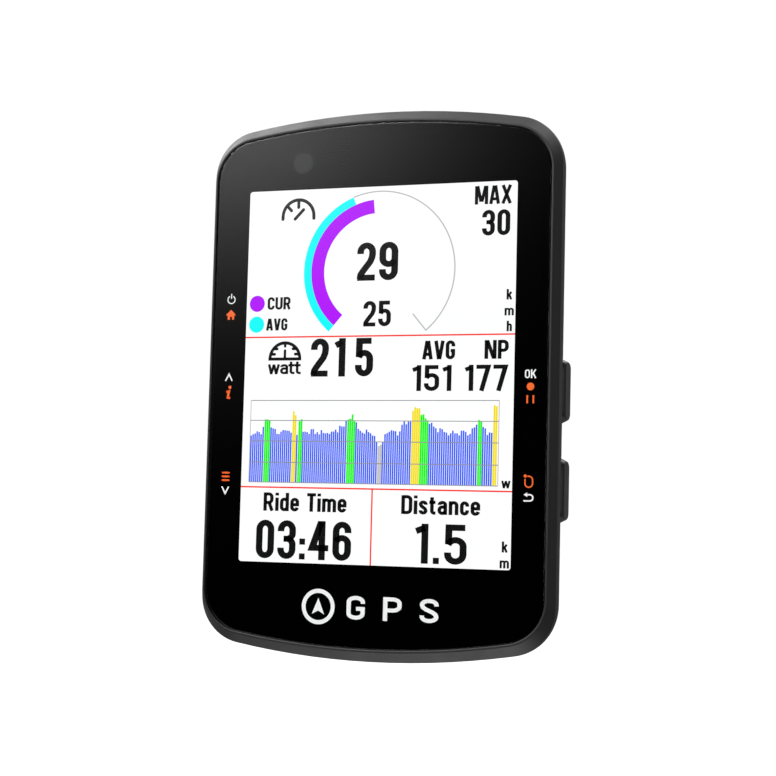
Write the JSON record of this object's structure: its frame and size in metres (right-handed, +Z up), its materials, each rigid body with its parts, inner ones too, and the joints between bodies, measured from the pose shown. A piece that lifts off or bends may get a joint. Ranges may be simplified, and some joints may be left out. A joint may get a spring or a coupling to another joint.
{
  "type": "cycling computer",
  "caption": "GPS cycling computer with a glass-fronted colour display, bevelled rim, side keys, rubber port cover and quarter-turn mount.",
  "frame": {"origin": "centre of the quarter-turn mount's end face, the rearmost plane of the unit", "axes": "+Y out of the mount's end face, so the screen faces -Y; +Z up along the unit's length; +X to the right seen from the screen side"},
  "size_m": [0.0566, 0.0195, 0.0838],
  "materials": {
    "cover_glass": "clear cover glass over a black printed border, polished",
    "mask_print": "black screen-printed border",
    "adhesive": "black foam tape",
    "rim_plastic": "fine-grained matte dark grey plastic",
    "shell_plastic": "fine-grained matte dark grey plastic",
    "key_plastic": "satin dark grey plastic",
    "seal_rubber": "black silicone rubber",
    "cover_rubber": "matte black rubber",
    "mount_nylon": "glass-filled black nylon",
    "display": null,
    "backlight": "white light guide in a moulded frame",
    "flex_film": "amber polyimide film with copper tracks",
    "chip_epoxy": "black moulded epoxy",
    "connector_plastic": "black glass-filled plastic",
    "antenna_ceramic": "bare beige ceramic with a silvered patch",
    "shield_metal": "tinned sheet steel",
    "tray_metal": "plain die-cast light alloy",
    "screw_steel": "stainless steel",
    "board": "green solder mask over glass-fibre board",
    "battery_foil": "pouch cell in silver foil",
    "membrane": "white breathable film"
  },
  "bodies": {
    "case": {"cover_glass": "cover_glass", "front_bezel": "rim_plastic", "rear_shell": "shell_plastic", "mount_insert": "mount_nylon", "case_screws": "screw_steel", "insert_screws": "screw_steel", "lanyard_bar": "screw_steel", "glass_adhesive": "adhesive", "lcd_panel": "display", "backlight_unit": "backlight", "display_flex": "flex_film", "light_sensor": "chip_epoxy", "sensor_flex": "flex_film", "display_tray": "tray_metal", "main_board": "board", "processor": "chip_epoxy", "memory_chip": "chip_epoxy", "power_chip": "chip_epoxy", "radio_chip": "chip_epoxy", "motion_sensor": "chip_epoxy", "display_connector": "connector_plastic", "gps_antenna": "antenna_ceramic", "buzzer": "connector_plastic", "pressure_sensor": "shield_metal", "battery_connector": "connector_plastic", "shield_can": "shield_metal", "usb_receptacle": "shield_metal", "usb_tongue": "connector_plastic", "battery_cell": "battery_foil", "battery_tape": "adhesive", "battery_flex": "flex_film", "key_board_left": "board", "key_board_right": "board", "key_bracket_left": "tray_metal", "key_bracket_right": "tray_metal", "case_seal": "seal_rubber", "frame_screws": "screw_steel", "board_screws": "screw_steel", "vent_membrane": "membrane", "ink_mask": "mask_print", "key_seals": "seal_rubber", "switch_power": "shield_metal", "switch_up": "shield_metal", "switch_down": "shield_metal", "switch_ok": "shield_metal", "switch_lap": "shield_metal"},
    "power_key": {"button_power": "key_plastic", "plunger_power": "connector_plastic"},
    "up_key": {"button_up": "key_plastic", "plunger_up": "connector_plastic"},
    "down_key": {"button_down": "key_plastic", "plunger_down": "connector_plastic"},
    "ok_key": {"button_ok": "key_plastic", "plunger_ok": "connector_plastic"},
    "lap_key": {"button_lap": "key_plastic", "plunger_lap": "connector_plastic"},
    "port_cover": {"usb_cover": "cover_rubber"}
  },
  "joints": [
    {"name": "power_press", "type": "slide", "parent": "case", "child": "power_key", "axis": [1, 0, 0], "range_m": [0, 0.0004], "stiffness_N_per_m": 3500, "springref_m": -0.00025},
    {"name": "up_press", "type": "slide", "parent": "case", "child": "up_key", "axis": [1, 0, 0], "range_m": [0, 0.0004], "stiffness_N_per_m": 3500, "springref_m": -0.00025},
    {"name": "down_press", "type": "slide", "parent": "case", "child": "down_key", "axis": [1, 0, 0], "range_m": [0, 0.0004], "stiffness_N_per_m": 3500, "springref_m": -0.00025},
    {"name": "ok_press", "type": "slide", "parent": "case", "child": "ok_key", "axis": [-1, 0, 0], "range_m": [0, 0.0004], "stiffness_N_per_m": 3500, "springref_m": -0.00025},
    {"name": "lap_press", "type": "slide", "parent": "case", "child": "lap_key", "axis": [-1, 0, 0], "range_m": [0, 0.0004], "stiffness_N_per_m": 3500, "springref_m": -0.00025},
    {"name": "cover_swing", "type": "hinge", "parent": "case", "child": "port_cover", "pos_m": [0, -0.0093, -0.0389], "axis": [1, 0, 0], "range_deg": [0, 80]}
  ]
}
